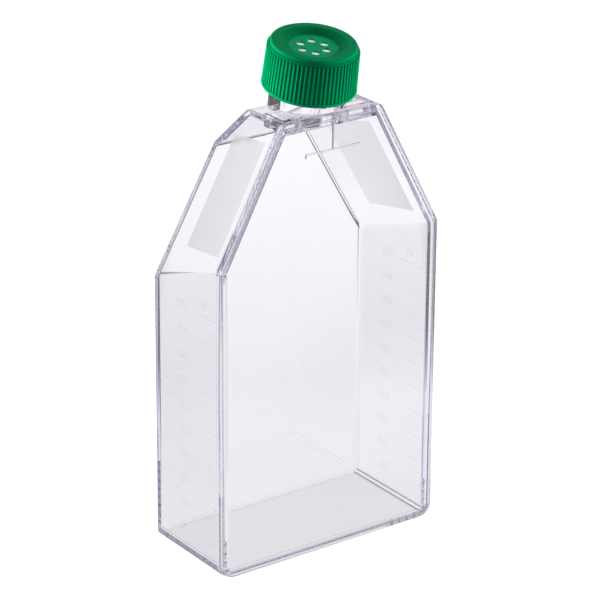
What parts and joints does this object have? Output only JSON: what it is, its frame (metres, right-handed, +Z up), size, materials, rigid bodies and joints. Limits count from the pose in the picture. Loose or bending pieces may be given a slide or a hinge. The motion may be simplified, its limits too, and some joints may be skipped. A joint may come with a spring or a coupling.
{
  "type": "cell culture flask",
  "caption": "Clear flat-sided culture flask with sloping shoulders, canted neck and vented screw cap, for growing cells on its large back wall.",
  "frame": {"origin": "centre of the end wall's outer face, half way between the cover plate's front and the growth wall's back", "axes": "+Z up from the end wall towards the neck, +X across the flask, -Y out of the cover plate, +Y out of the growth wall"},
  "size_m": [0.105, 0.0551, 0.2159],
  "materials": {
    "clear_plastic": "clear moulded polystyrene, glossy, with a faint lavender tint in its edges",
    "green_plastic": "green moulded polyolefin, satin on the grip ribs and glossy on the crown",
    "white_membrane": "matt white filter membrane"
  },
  "bodies": {
    "flask": {"flask_body": "clear_plastic", "cover_plate": "clear_plastic"},
    "vent": {"vent_membrane": "white_membrane"},
    "cap": {"screw_cap": "green_plastic"}
  },
  "joints": [
    {"name": "cap_lift", "type": "slide", "parent": "flask", "child": "vent", "axis": [0, -0.1736, 0.9848], "range_m": [0, 0.0053]},
    {"name": "cap_turn", "type": "hinge", "parent": "vent", "child": "cap", "pos_m": [0, -0.00873, 0.19377], "axis": [0, -0.1736, 0.9848], "range_deg": [0, 540]}
  ],
  "couplings": [
    {"joint": "cap_lift", "follows": "cap_turn", "m_per_rad": 0.000557}
  ]
}
